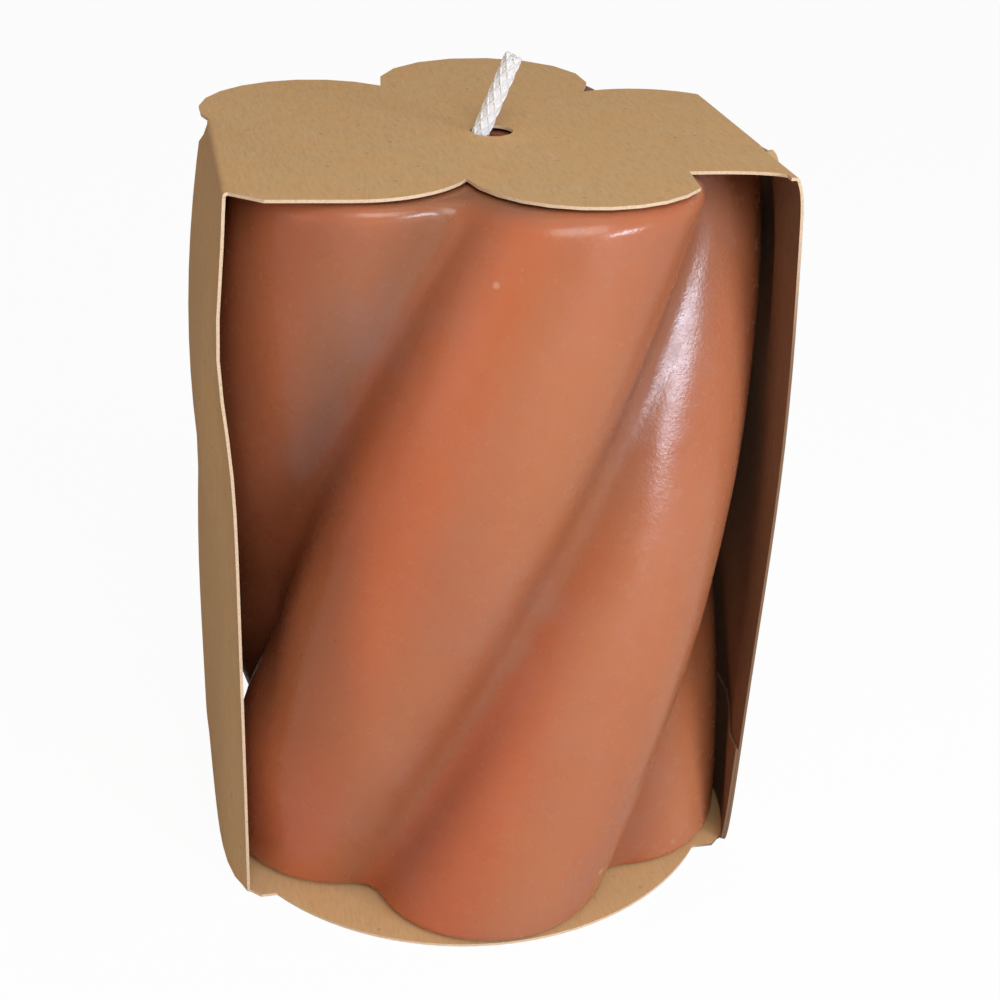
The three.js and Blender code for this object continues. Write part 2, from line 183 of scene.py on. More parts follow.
class StageSettings(bpy.types.PropertyGroup):
    """Floor, backdrop, lamps and camera"""

    lens: bpy.props.FloatProperty(
        name="Lens", description="Focal length on a 36 mm square frame", default=62.24, unit="CAMERA")
    camera_place: bpy.props.FloatVectorProperty(
        name="Camera", description="Place of the camera", size=3, subtype="XYZ_LENGTH",
        default=(-49.06 * MM, -250.91 * MM, 187.48 * MM))
    yaw: bpy.props.FloatProperty(
        name="Yaw", description="Turn of the camera from straight ahead", default=math.radians(-12.18),
        subtype="ANGLE")
    pitch: bpy.props.FloatProperty(
        name="Pitch", description="How far the camera looks down", default=math.radians(27.01),
        subtype="ANGLE")
    roll: bpy.props.FloatProperty(
        name="Roll", description="Tilt of the camera about its own line of sight",
        default=math.radians(1.38), subtype="ANGLE")
    floor_size: bpy.props.FloatProperty(
        name="Floor", description="Side of the floor", default=3.0, unit="LENGTH")
    floor_colour: bpy.props.FloatVectorProperty(
        name="Floor colour", description="Colour of the floor and the backdrop", subtype="COLOR",
        size=3, min=0, max=1, default=(0.5, 0.5, 0.5))
    glow: bpy.props.FloatProperty(
        name="Floor glow", description="Share of plain white in what the camera sees of the floor",
        default=0.95, min=0, max=1)
    daylight: bpy.props.FloatProperty(
        name="Daylight", description="Strength of the even light from all round", default=0.3, min=0)
    key: bpy.props.FloatProperty(
        name="Key lamp", description="Power of the soft lamp above the front", default=2.6,
        unit="POWER")
    window: bpy.props.FloatProperty(
        name="Window lamp", description="Power of the cool lamp at the right", default=3.2,
        unit="POWER")
    fill: bpy.props.FloatProperty(
        name="Fill lamp", description="Power of the warm, low lamp at the left", default=0.4,
        unit="POWER")
    top: bpy.props.FloatProperty(
        name="Top lamp", description="Power of the soft lamp overhead", default=0.3, unit="POWER")


# Small tools for the operators

def deselect():
    if bpy.context.object and bpy.context.object.mode != "OBJECT":
        bpy.ops.object.mode_set(mode="OBJECT")
    bpy.ops.object.select_all(action="DESELECT")


def hold(obj):
    deselect()
    bpy.context.view_layer.objects.active = obj
    obj.select_set(True)


def mode(name):
    bpy.ops.object.mode_set(mode=name)


def pick(obj, kind, test):
    """Selects the vertices or edges that pass the test and leaves the object in edit mode."""
    mode("EDIT")
    bpy.ops.mesh.select_mode(type=kind)
    bpy.ops.mesh.select_all(action="DESELECT")
    mode("OBJECT")
    mesh = obj.data
    if kind == "VERT":
        for vertex in mesh.vertices:
            vertex.select = test(vertex.co)
    else:
        for edge in mesh.edges:
            edge.select = test(*(mesh.vertices[i].co for i in edge.vertices))
    mode("EDIT")


def pick_all():
    mode("EDIT")
    bpy.ops.mesh.select_all(action="SELECT")


def settle(obj):
    """Applies the object's place, so that it lies in its mesh."""
    hold(obj)
    bpy.ops.object.transform_apply(location=True, rotation=True, scale=True)


def modify(obj, kind, **values):
    """Adds a modifier and applies it at once."""
    hold(obj)
    modifier = obj.modifiers.new(kind.title(), kind)
    for name, value in values.items():
        setattr(modifier, name, value)
    bpy.ops.object.modifier_apply(modifier=modifier.name)


def smooth(obj, degrees):
    hold(obj)
    bpy.ops.object.shade_smooth_by_angle(angle=math.radians(degrees))


def join(pieces):
    deselect()
    for piece in pieces:
        piece.select_set(True)
    bpy.context.view_layer.objects.active = pieces[0]
    bpy.ops.object.join()
    return bpy.context.object


def paint(obj, *materials):
    obj.data.materials.clear()
    for material in materials:
        obj.data.materials.append(material)


def cut_away(obj, cutter):
    """Takes the cutter's shape out of the object and removes the cutter."""
    settle(cutter)
    modify(obj, "BOOLEAN", operation="DIFFERENCE", object=cutter, solver="EXACT")
    bpy.data.objects.remove(cutter)


def cut_rows(levels):
    """Cuts the whole mesh in edit mode across at each level."""
    for level in levels:
        bpy.ops.mesh.select_all(action="SELECT")
        bpy.ops.mesh.bisect(plane_co=(0, 0, level), plane_no=(0, 0, 1))


def hand_over(obj, name, body, nodes):
    obj.name = name
    obj.data.name = name
    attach(obj, body)
    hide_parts(*nodes)


# Material nodes

class Surface:
    """A node material with a Principled shader, and short ways to add nodes to it."""

    def __init__(self, name):
        self.material = bpy.data.materials.new(name)
        self.material.use_nodes = True
        self.tree = self.material.node_tree
        self.tree.nodes.clear()
        self.shader = self.add("BsdfPrincipled")
        self.output = self.add("OutputMaterial")
        self.link(self.shader.outputs[0], self.output.inputs["Surface"])
        self.place = self.add("TexCoord").outputs["Object"]

    def add(self, kind, **values):
        node = self.tree.nodes.new("ShaderNode" + kind)
        for name, value in values.items():
            setattr(node, name, value)
        return node

    def link(self, source, target):
        self.tree.links.new(source, target)

    def set(self, **values):
        for name, value in values.items():
            self.shader.inputs[name.replace("_", " ")].default_value = value

    def stretched(self, scale, location=(0, 0, 0)):
        """The place on the object, scaled along each axis."""
        node = self.add("Mapping")
        node.inputs["Location"].default_value = location
        node.inputs["Scale"].default_value = scale
        self.link(self.place, node.inputs["Vector"])
        return node.outputs[0]

    def noise(self, size, detail=3.0, rough=0.5, vector=None):
        """Noise whose blots are about size metres across."""
        node = self.add("TexNoise")
        node.inputs["Scale"].default_value = 1 / size
        node.inputs["Detail"].default_value = detail
        node.inputs["Roughness"].default_value = rough
        self.link(vector or self.place, node.inputs["Vector"])
        return node.outputs["Fac"]

    def cells(self, size):
        """Distance to the middle of cells that are about size metres across, as a share of size."""
        node = self.add("TexVoronoi")
        node.inputs["Scale"].default_value = 1 / size
        self.link(self.place, node.inputs["Vector"])
        return node.outputs["Distance"]

    def ramp(self, value, low, high, start=0.0, end=1.0):
        """A soft step from start at low to end at high."""
        node = self.add("MapRange", interpolation_type="SMOOTHSTEP")
        node.inputs["From Min"].default_value = low
        node.inputs["From Max"].default_value = high
        node.inputs["To Min"].default_value = start
        node.inputs["To Max"].default_value = end
        self.link(value, node.inputs["Value"])
        return node.outputs["Result"]

    def math(self, operation, first, second):
        node = self.add("Math", operation=operation)
        for value, socket in zip((first, second), node.inputs):
            if isinstance(value, (int, float)):
                socket.default_value = value
            else:
                self.link(value, socket)
        return node.outputs[0]

    def mix(self, factor, first, second, blend="MIX"):
        node = self.add("Mix", data_type="RGBA", blend_type=blend)
        sockets = [s for s in node.inputs if s.enabled]
        for value, socket in zip((factor, first, second), sockets):
            if isinstance(value, bpy.types.NodeSocket):
                self.link(value, socket)
            elif socket.type == "RGBA":
                socket.default_value = (*value, 1)
            else:
                socket.default_value = value
        return next(s for s in node.outputs if s.enabled)

    def bump(self, height, depth, strength, normal=None):
        node = self.add("Bump")
        node.inputs["Strength"].default_value = strength
        node.inputs["Distance"].default_value = depth
        self.link(height, node.inputs["Height"])
        if normal:
            self.link(normal, node.inputs["Normal"])
        return node.outputs[0]


STREAK_SIZE = 26 * MM
CLOUD_SIZE = 14 * MM
SPECK_SIZE = 11 * MM
PIT_SIZE = 17 * MM
GRAIN_SIZE, GRAIN_DEPTH = 0.5 * MM, 0.05 * MM
WAVE_SIZE, WAVE_DEPTH = 5 * MM, 0.12 * MM
WAX_SHINY, WAX_DULL = 0.2, 0.3
VALLEY_RIM, VALLEY_DEPTH = 2.5 * MM, 8.5 * MM
HIGH_VALLEY_FROM, HIGH_VALLEY_TO = 60 * MM, 100 * MM
LEFT_FROM, LEFT_TO = -0.1, -0.6
FAR_LEFT_FROM, FAR_LEFT_TO = -20 * MM, -28 * MM
FAR_LEFT_FOOT, FAR_LEFT_FULL = 15 * MM, 45 * MM
SPECK_COLOUR = (0.72, 0.45, 0.33)
# Painted shade: the colour of the small pits, dark dots standing in for the shade inside them.
PIT_SHADE_COLOUR = (0.16, 0.05, 0.02)


def wax_material(settings):
    """Poured wax: richer streaks, a dusty bloom in the valleys, small pale specks and a satin skin,
    with painted shade in the valleys, beside the left panel and in small pits, and painted light on
    what faces left.
    """
    s = Surface("wax")
    streaks = s.ramp(s.noise(STREAK_SIZE, 4, 0.55, s.stretched((1, 1, 0.45))), 0.35, 0.68)
    colour = s.mix(streaks, tuple(settings.deep), tuple(settings.colour))
    centre = s.stretched((1, 1, 0), (-settings.axis[0], -settings.axis[1], 0))
    length = s.add("VectorMath", operation="LENGTH")
    s.link(centre, length.inputs[0])
    reach = settings.lobe_distance + settings.lobe_radius
    valley = s.ramp(length.outputs["Value"], reach - VALLEY_RIM, reach - VALLEY_DEPTH)
    cloud = s.ramp(s.noise(CLOUD_SIZE, 5, 0.6), 0.42, 0.7)
    film = s.math("MULTIPLY", s.math("ADD", s.math("MULTIPLY", valley, 0.2), 0.1), cloud)
    colour = s.mix(film, colour, tuple(settings.bloom))
    # Painted shade: the colour is made darker in the valleys, where little light reaches.
    colour = s.mix(valley, colour, tuple(settings.valley), "MULTIPLY")
    place = s.add("SeparateXYZ")
    s.link(s.place, place.inputs[0])
    # Painted shade: a lavender tint on the shade in the valleys near the top.
    high = s.ramp(place.outputs["Z"], HIGH_VALLEY_FROM, HIGH_VALLEY_TO)
    colour = s.mix(s.math("MULTIPLY", high, valley), colour, tuple(settings.high_valley_shade), "MULTIPLY")
    # Painted light: faces turned to the left get a brighter, warmer colour.
    facing = s.add("SeparateXYZ")
    s.link(s.place.node.outputs["Normal"], facing.inputs[0])
    left = s.ramp(facing.outputs["X"], LEFT_FROM, LEFT_TO)
    colour = s.mix(left, colour, tuple(settings.left), "MULTIPLY")
    # Painted shade: the wax beside the left panel is darkened where the panel shades it.
    beside = s.ramp(place.outputs["X"], FAR_LEFT_FROM, FAR_LEFT_TO)
    raised = s.ramp(place.outputs["Z"], FAR_LEFT_FOOT, FAR_LEFT_FULL)
    colour = s.mix(s.math("MULTIPLY", beside, raised), colour, tuple(settings.far_left_shade), "MULTIPLY")
    specks = s.ramp(s.cells(SPECK_SIZE), 0.075, 0.035)
    few = s.ramp(s.noise(30 * MM, 1), 0.52, 0.56)
    colour = s.mix(s.math("MULTIPLY", s.math("MULTIPLY", specks, few), 0.55), colour, SPECK_COLOUR)
    # Painted shade in small pits.
    pit_shade = s.ramp(s.cells(PIT_SIZE), 0.03, 0.012)
    colour = s.mix(s.math("MULTIPLY", pit_shade, 0.7), colour, PIT_SHADE_COLOUR)
    s.link(colour, s.shader.inputs["Base Color"])
    grain = s.noise(GRAIN_SIZE, 2, 0.6)
    rough = s.ramp(s.noise(3 * MM, 4, 0.65), 0.3, 0.75, WAX_SHINY, WAX_DULL)
    s.link(rough, s.shader.inputs["Roughness"])
    skin = s.bump(grain, GRAIN_DEPTH, 0.6)
    waves = s.bump(s.noise(WAVE_SIZE, 3, 0.5), WAVE_DEPTH, 0.5, skin)
    s.link(waves, s.shader.inputs["Normal"])
    s.set(Subsurface_Weight=0.5, Subsurface_Scale=2.5 * MM, Subsurface_Radius=(1.0, 0.35, 0.2))
    s.set(Specular_IOR_Level=0.5, IOR=1.44)
    return s.material


THREAD_SIZE, THREAD_DEPTH = 0.18 * MM, 0.08 * MM


def cotton_material(settings):
    """White waxed cotton with fine threads along the strands."""
    s = Surface("wick_cotton")
    threads = s.noise(THREAD_SIZE, 2, 0.6, s.stretched((1, 1, 0.3)))
    shaded = tuple(c * 0.9 for c in settings.colour)
    colour = s.mix(s.ramp(threads, 0.3, 0.65), shaded, tuple(settings.colour))
    s.link(colour, s.shader.inputs["Base Color"])
    s.link(s.ramp(threads, 0.2, 0.8, 0.75, 0.95), s.shader.inputs["Roughness"])
    s.link(s.bump(threads, THREAD_DEPTH, 0.7), s.shader.inputs["Normal"])
    s.set(Subsurface_Weight=0.15, Subsurface_Scale=1 * MM, Subsurface_Radius=(1.0, 0.9, 0.8))
    s.set(Sheen_Weight=0.3, Sheen_Roughness=0.6)
    return s.material


TIN_DARK, TIN_PALE = (0.5, 0.51, 0.52), (0.66, 0.67, 0.68)


def tin_material():
    """Rolled tinplate with faint marks across it."""
    s = Surface("tinplate")
    marks = s.noise(0.6 * MM, 3, 0.6, s.stretched((1, 12, 1)))
    s.link(s.mix(s.ramp(marks, 0.3, 0.7), TIN_DARK, TIN_PALE), s.shader.inputs["Base Color"])
    s.link(s.ramp(marks, 0.25, 0.75, 0.28, 0.45), s.shader.inputs["Roughness"])
    s.link(s.bump(marks, 0.01 * MM, 0.4), s.shader.inputs["Normal"])
    s.set(Metallic=1.0)
    return s.material


BLOTCH_SIZE = 9 * MM
FIBRE_SIZE, FIBRE_DEPTH = 0.45 * MM, 0.04 * MM
PALE_SIZE = 0.8 * MM
FLECK_SIZE = 2.6 * MM
BUCKLE_SIZE, BUCKLE_DEPTH = 7 * MM, 0.15 * MM
WARM = (1.04, 0.97, 0.9)


def kraft_material(settings, name, face, grain):
    """Kraft board: soft blotches, long fibres along the grain, and small dark and pale flecks."""
    s = Surface(name)
    tone = [f / c for f, c in zip(face, settings.colour)]
    dark = tuple(d * t for d, t in zip(settings.dark, tone))
    cut = tuple(c * t for c, t in zip(settings.cut, tone))
    blotch = s.ramp(s.noise(BLOTCH_SIZE, 4, 0.6), 0.3, 0.7)
    warm = tuple(c * f for c, f in zip(face, WARM))
    colour = s.mix(blotch, warm, tuple(face))
    along = s.stretched(grain)
    fibres = s.noise(FIBRE_SIZE, 4, 0.65, along)
    colour = s.mix(s.ramp(fibres, 0.42, 0.72, 0.0, 0.28), colour, dark)
    pale = s.noise(PALE_SIZE, 3, 0.6, along)
    colour = s.mix(s.ramp(pale, 0.56, 0.7, 0.0, 0.25), colour, cut)
    flecks = s.ramp(s.cells(FLECK_SIZE), 0.16, 0.08)
    some = s.ramp(s.noise(6 * MM, 2), 0.5, 0.56)
    fleck = s.math("MULTIPLY", s.math("MULTIPLY", flecks, some), 0.4)
    colour = s.mix(fleck, colour, tuple(c * 0.6 for c in dark))
    s.link(colour, s.shader.inputs["Base Color"])
    s.link(s.ramp(fibres, 0.3, 0.7, 0.78, 0.92), s.shader.inputs["Roughness"])
    fine = s.bump(fibres, FIBRE_DEPTH, 0.6)
    buckled = s.bump(s.noise(BUCKLE_SIZE, 2), BUCKLE_DEPTH, 0.5, fine)
    s.link(buckled, s.shader.inputs["Normal"])
    s.set(Specular_IOR_Level=0.3)
    return s.material


CRUSHED_SIZE, CRUSHED_DEPTH = 0.25 * MM, 0.08 * MM
# Painted shade on the cut edge: where it starts on the right and how it grows towards the bottom.
EDGE_SHADE_FROM, EDGE_SHADE_TO = 30 * MM, 40 * MM
EDGE_SHADE_TOP, EDGE_SHADE_FULL = 118 * MM, 90 * MM


def cut_material(settings):
    """The board's cut edge: paler, with crushed fibres, and painted shade low on the right, where the
    edge lies in shade.
    """
    s = Surface("kraft_cut_edge")
    fibres = s.noise(CRUSHED_SIZE, 3, 0.7)
    dark = tuple(c * 0.75 for c in settings.cut)
    colour = s.mix(s.ramp(fibres, 0.3, 0.6), dark, tuple(settings.cut))
    place = s.add("SeparateXYZ")
    s.link(s.place, place.inputs[0])
    # Painted shade: the cut edge turns dark low on the right, where it lies in shade.
    right = s.ramp(place.outputs["X"], EDGE_SHADE_FROM, EDGE_SHADE_TO)
    low = s.ramp(place.outputs["Z"], EDGE_SHADE_TOP, EDGE_SHADE_FULL)
    edge_shade = s.math("MULTIPLY", right, low)
    colour = s.mix(edge_shade, colour, tuple(settings.inside))
    s.link(colour, s.shader.inputs["Base Color"])
    s.link(s.bump(fibres, CRUSHED_DEPTH, 0.8), s.shader.inputs["Normal"])
    s.link(s.ramp(fibres, 0.2, 0.8, 0.85, 0.95), s.shader.inputs["Roughness"])
    return s.material


def stage_material(settings):
    """A pale, matt floor that the camera sees as nearly white, with the object's shadow on it."""
    s = Surface("stage")
    mottle = s.noise(60 * MM, 2)
    grey = tuple(c * 0.985 for c in settings.floor_colour)
    colour = s.mix(mottle, grey, tuple(settings.floor_colour))
    rays = s.add("LightPath")
    seen = s.math("MAXIMUM", rays.outputs["Is Camera Ray"], rays.outputs["Is Transmission Ray"])
    s.link(s.mix(seen, colour, (1, 1, 1)), s.shader.inputs["Base Color"])
    s.set(Roughness=0.9)
    glow = s.add("Emission")
    glow.inputs["Color"].default_value = (1, 1, 1, 1)
    blend = s.add("MixShader")
    s.link(s.math("MULTIPLY", seen, settings.glow), blend.inputs["Fac"])
    s.link(s.shader.outputs[0], blend.inputs[1])
    s.link(glow.outputs[0], blend.inputs[2])
    s.link(blend.outputs[0], s.output.inputs["Surface"])
    return s.material


# The wax pillar

RIM_SEGMENTS = 5
CIRCLE_SIDES = 90
TWIST_ROWS = 56
SECTION_WELD = 0.01 * MM
LEVEL_TOLERANCE = 0.001 * MM
INNER_SHARE = 0.6  # what lies closer to the axis than this share of a valley's bottom is cut off
VALLEY_ROUND = 2.3 * MM  # how far out from a valley's bottom the section is smoothed
DENT_SIZE = 14 * MM
BORE_SIDES = 32
RECESS_SIDES = 64
COLLAR_RADIUS = 2.4 * MM
CHANNEL_RADIUS = 1.75 * MM
CLEARANCE = 0.3 * MM
SINK_SHIFT = 1.5 * MM
SINK_STRETCH = 2.2
SWELL_CORE, SWELL_REACH = 9 * MM, 20 * MM
SAG_CORE, SAG_REACH = 6 * MM, 12 * MM


def valley_bottom(settings):
    """Distance from the axis to where two lobes meet."""
    half = math.pi / settings.lobes
    across = settings.lobe_distance * math.sin(half)
    return settings.lobe_distance * math.cos(half) + math.sqrt(settings.lobe_radius ** 2 - across ** 2)


def lobed_outline(settings):
    """One lobe's arc, cut between its two valleys and spun round into the closed section."""
    deselect()
    bpy.ops.mesh.primitive_circle_add(
        vertices=CIRCLE_SIDES, radius=settings.lobe_radius, location=(settings.lobe_distance, 0, 0))
    obj = bpy.context.object
    settle(obj)
    half = math.pi / settings.lobes
    for side in (1, -1):
        pick_all()
        bpy.ops.mesh.bisect(
            plane_co=(0, 0, 0), plane_no=(-math.sin(half), side * math.cos(half), 0), clear_outer=True)
    meet = valley_bottom(settings)
    pick(obj, "VERT", lambda co: co.xy.length < meet * INNER_SHARE)
    bpy.ops.mesh.delete(type="VERT")
    pick_all()
    bpy.ops.mesh.spin(
        steps=settings.lobes, dupli=True, angle=2 * math.pi, center=(0, 0, 0), axis=(0, 0, 1))
    pick_all()
    bpy.ops.mesh.remove_doubles(threshold=SECTION_WELD)
    bpy.ops.mesh.edge_face_add()
    pick(obj, "VERT", lambda co: co.xy.length < meet + VALLEY_ROUND)
    bpy.ops.mesh.vertices_smooth(factor=0.5, repeat=10)
    mode("OBJECT")
    return obj


def raise_pillar(obj, settings, height):
    """Extrudes the section, rounds both rims and cuts the walls into rows."""
    hold(obj)
    pick_all()
    bpy.ops.mesh.extrude_region_move(TRANSFORM_OT_translate={"value": (0, 0, height)})
    pick_all()
    bpy.ops.mesh.normals_make_consistent(inside=False)
    for level, rim in ((0, settings.base_rim), (height, settings.top_rim)):
        pick(obj, "EDGE", lambda a, b: max(abs(a.z - level), abs(b.z - level)) < LEVEL_TOLERANCE)
        bpy.ops.mesh.bevel(offset=rim, segments=RIM_SEGMENTS, affect="EDGES", profile=0.5)
    low, high = settings.base_rim, height - settings.top_rim
    cut_rows(low + (high - low) * row / TWIST_ROWS for row in range(1, TWIST_ROWS))
    mode("OBJECT")


def bore(obj, radius, low, high, sides):
    """Cuts a round hole along the wick from the height low to the height high."""
    deselect()
    bpy.ops.mesh.primitive_cylinder_add(
        vertices=sides, radius=radius, depth=high - low,
        location=(WICK_FOOT.x, WICK_FOOT.y, (low + high) / 2))
    cut_away(obj, bpy.context.object)


def sink(obj, settings):
    """Cuts the hollow that the cooling wax leaves at the wick."""
    deselect()
    bpy.ops.mesh.primitive_uv_sphere_add(
        segments=32, ring_count=16, radius=settings.sink,
        location=(WICK_FOOT.x + SINK_SHIFT, WICK_FOOT.y, WAX_HIGH.z))
    cutter = bpy.context.object
    cutter.scale.z = SINK_STRETCH
    cut_away(obj, cutter)


def push(obj, place, core, reach, move):
    """Moves the wax round a place by a whole amount within core, dying away over reach."""
    spot = Vector(place)
    pick(obj, "VERT", lambda co: (co - spot).length < core)
    bpy.ops.transform.translate(
        value=move, use_proportional_edit=True, proportional_edit_falloff="SMOOTH",
        proportional_size=reach, use_proportional_connected=False)
    mode("OBJECT")


def cloud_texture(name, size):
    texture = bpy.data.textures.new(name, "CLOUDS")
    texture.noise_scale = size
    texture.noise_depth = 2
    return texture


class CANDLE_OT_wax(bpy.types.Operator):
    """Model the twisted wax pillar"""

    bl_idname = "candle.wax"
    bl_label = "Wax pillar"

    def execute(self, context):
        settings = context.scene.candle_wax
        height = WAX_HIGH.z - WAX_LOW.z
        obj = lobed_outline(settings)
        raise_pillar(obj, settings, height)
        modify(obj, "SIMPLE_DEFORM", deform_method="TWIST", deform_axis="Z", angle=settings.twist)
        obj.rotation_euler.z = settings.base_turn
        obj.location = (settings.axis[0], settings.axis[1], WAX_LOW.z)
        settle(obj)
        modify(obj, "DISPLACE", texture=cloud_texture("mould dents", DENT_SIZE), texture_coords="LOCAL",
               strength=settings.dent, mid_level=1.0)
        tab_radius = (TAB_HIGH.x - TAB_LOW.x) / 2
        below = WAX_LOW.z - CLEARANCE
        bore(obj, tab_radius + CLEARANCE, below, TAB_LOW.z + 2 * CLEARANCE, RECESS_SIDES)
        bore(obj, COLLAR_RADIUS, below, TAB_HIGH.z + CLEARANCE, BORE_SIDES)
        bore(obj, CHANNEL_RADIUS, below, WAX_HIGH.z + CLEARANCE, BORE_SIDES)
        sink(obj, settings)
        push(obj, settings.swell_place, SWELL_CORE, SWELL_REACH, settings.swell)
        push(obj, settings.sag_place, SAG_CORE, SAG_REACH, settings.sag)
        smooth(obj, 35)
        paint(obj, wax_material(settings))
        hand_over(obj, "wax_pillar", "candle", ("wax_body",))
        return {"FINISHED"}


# The wick and its tab

STRAND_SIDES = 10
STRAND_OFFSET = 0.97 * MM
STEPS_PER_TURN = 20
WICK_RADIUS = 1.4 * MM
CORE_RADIUS = 1.22 * MM
CORE_SIDES = 24
CORE_ROWS = 40
CORE_SHORT = 0.6 * MM  # how far the core ends below the strands
BRAID_START = 4 * MM  # how far below the bend the strands start


def strand(settings, turn, hand, low, length):
    """One strand, screwed round the wick's axis; hand is 1 or -1."""
    deselect()
    turns = length / settings.pitch
    steps = round(STEPS_PER_TURN * turns)
    slope = math.atan2(settings.pitch, 2 * math.pi * STRAND_OFFSET)
    bpy.ops.mesh.primitive_circle_add(
        vertices=STRAND_SIDES, radius=settings.strand_radius, location=(STRAND_OFFSET, 0, 0),
        rotation=(math.pi / 2 - hand * slope, 0, 0))
    obj = bpy.context.object
    settle(obj)
    obj.rotation_euler.z = turn
    settle(obj)
    modify(obj, "SCREW", angle=hand * 2 * math.pi * turns, screw_offset=length, axis="Z",
           steps=steps, render_steps=steps)
    pick(obj, "VERT", lambda co: False)
    bpy.ops.mesh.select_non_manifold()
    bpy.ops.mesh.edge_face_add()
    mode("OBJECT")
    obj.location.z = low
    settle(obj)
    return obj


class CANDLE_OT_wick(bpy.types.Operator):
    """Model the braided wick and finish its tab"""

    bl_idname = "candle.wick"
    bl_label = "Wick and tab"

    def execute(self, context):
        settings = context.scene.candle_wick
        bend_low = WAX_HIGH.z - settings.bend_radius * math.tan(settings.lean / 2)
        arc = settings.bend_radius * settings.lean
        rise = settings.bend_radius * math.sin(settings.lean)
        edge = WICK_RADIUS * math.sin(settings.lean)
        tip = (WICK_HIGH.z - bend_low - rise - edge) / math.cos(settings.lean) - settings.short
        braid_low = bend_low - BRAID_START
        braid = bend_low + arc + tip - braid_low
        pieces = []
        for hand in (1, -1):
            for k in range(settings.strands):
                turn = 2 * math.pi * (k + (0.5 if hand < 0 else 0)) / settings.strands
                pieces.append(strand(settings, turn, hand, braid_low, braid))
        deselect()
        core_low = WICK_LOW.z
        core_high = bend_low + arc + tip - CORE_SHORT
        bpy.ops.mesh.primitive_cylinder_add(
            vertices=CORE_SIDES, radius=CORE_RADIUS, depth=core_high - core_low,
            location=(0, 0, (core_low + core_high) / 2))
        core = bpy.context.object
        settle(core)
        pick_all()
        cut_rows(braid_low + (core_high - braid_low) * row / CORE_ROWS for row in range(1, CORE_ROWS))
        mode("OBJECT")
        obj = join([core, *pieces])
        bend_along(obj, settings, bend_low, arc, tip)
        obj.location = (WICK_FOOT.x, WICK_FOOT.y, 0)
        settle(obj)
        smooth(obj, 40)
        paint(obj, cotton_material(settings))
        hand_over(obj, "cotton_wick", "candle", ("wick",))
        paint(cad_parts["wick_tab"], tin_material())
        return {"FINISHED"}


def bend_along(obj, settings, bend_low, arc, tip):
    """Leans what stands above bend_low: a short bend, then straight."""
    deselect()
    bpy.ops.curve.primitive_bezier_curve_add(location=(0, 0, 0))
    curve = bpy.context.object
    spline = curve.data.splines[0]
    curve.data.resolution_u = 24
    curve.data.dimensions = "3D"
    spline.bezier_points.add(2)
    lean = settings.lean
    bend = settings.bend_radius
    start = WICK_LOW.z
    end_of_bend = Vector((bend * (1 - math.cos(lean)), 0, bend_low + bend * math.sin(lean)))
    way = Vector((math.sin(lean), 0, math.cos(lean)))
    places = [Vector((0, 0, start)), Vector((0, 0, bend_low)), end_of_bend, end_of_bend + way * tip]
    ways = [Vector((0, 0, 1)), Vector((0, 0, 1)), way, way]
    foot = bend_low - start
    before = [foot / 3, foot / 3, arc / 3, arc / 3]
    after = [foot / 3, arc / 3, tip / 3, tip / 3]
    for k, point in enumerate(spline.bezier_points):
        point.handle_left_type = point.handle_right_type = "FREE"
        point.co = places[k]
        point.handle_left = places[k] - ways[k] * before[k]
        point.handle_right = places[k] + ways[k] * after[k]
    modify(obj, "CURVE", object=curve, deform_axis="POS_Z")
    bpy.data.objects.remove(curve)


# The board wrap

# The new piece's name, its body and how the board stands, for each node.
BOARDS = {
    "top_card": ("top_panel", "top", "flat"),
    "bottom_card": ("bottom_panel", "wrap", "flat"),
    "left_panel": ("left_side", "wrap", "upright"),
    "right_panel": ("right_side_panel", "right_side", "upright"),
    "glue_flap": ("inner_flap", "wrap", "upright"),
}
BOARD_WELD = 0.002 * MM
ALONG_DEPTH = (1, 0.16, 1)  # the grain of the cards and of the upright panels
ALONG_HEIGHT = (1, 1, 0.16)


def board_copy(node):
    """A merged copy of a board node, as a new piece."""
    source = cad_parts[node]
    obj = bpy.data.objects.new(node + "_copy", source.data.copy())
    bpy.context.scene.collection.objects.link(obj)
    hold(obj)
    if obj.data.has_custom_normals:
        bpy.ops.mesh.customdata_custom_splitnormals_clear()
    pick_all()
    bpy.ops.mesh.remove_doubles(threshold=BOARD_WELD)
    mode("OBJECT")
    return obj


SIDEWAYS = 0.6  # least share of X in the normal of an upright board's faces
FORWARDS = 0.95
LEVEL = 0.1
FULL_THICKNESS = 0.9


def is_cut(face, obj, kind, thickness):
    """True for the narrow faces along a board's cut edges."""
    if kind == "upright":
        return abs(face.normal.x) < SIDEWAYS
    if abs(face.normal.y) > FORWARDS:
        return True
    heights = [obj.data.vertices[i].co.z for i in face.vertices]
    tall = max(heights) - min(heights) > FULL_THICKNESS * thickness
    return abs(face.normal.z) < LEVEL and tall


def trim(obj, settings):
    """Cuts the panel's top back corner off along a slanted line."""
    pick_all()
    bpy.ops.mesh.bisect(
        plane_co=(0, settings.corner[0], settings.corner[1]), clear_outer=True, use_fill=True,
        plane_no=(0, math.sin(settings.corner_slope), math.cos(settings.corner_slope)))
    mode("OBJECT")


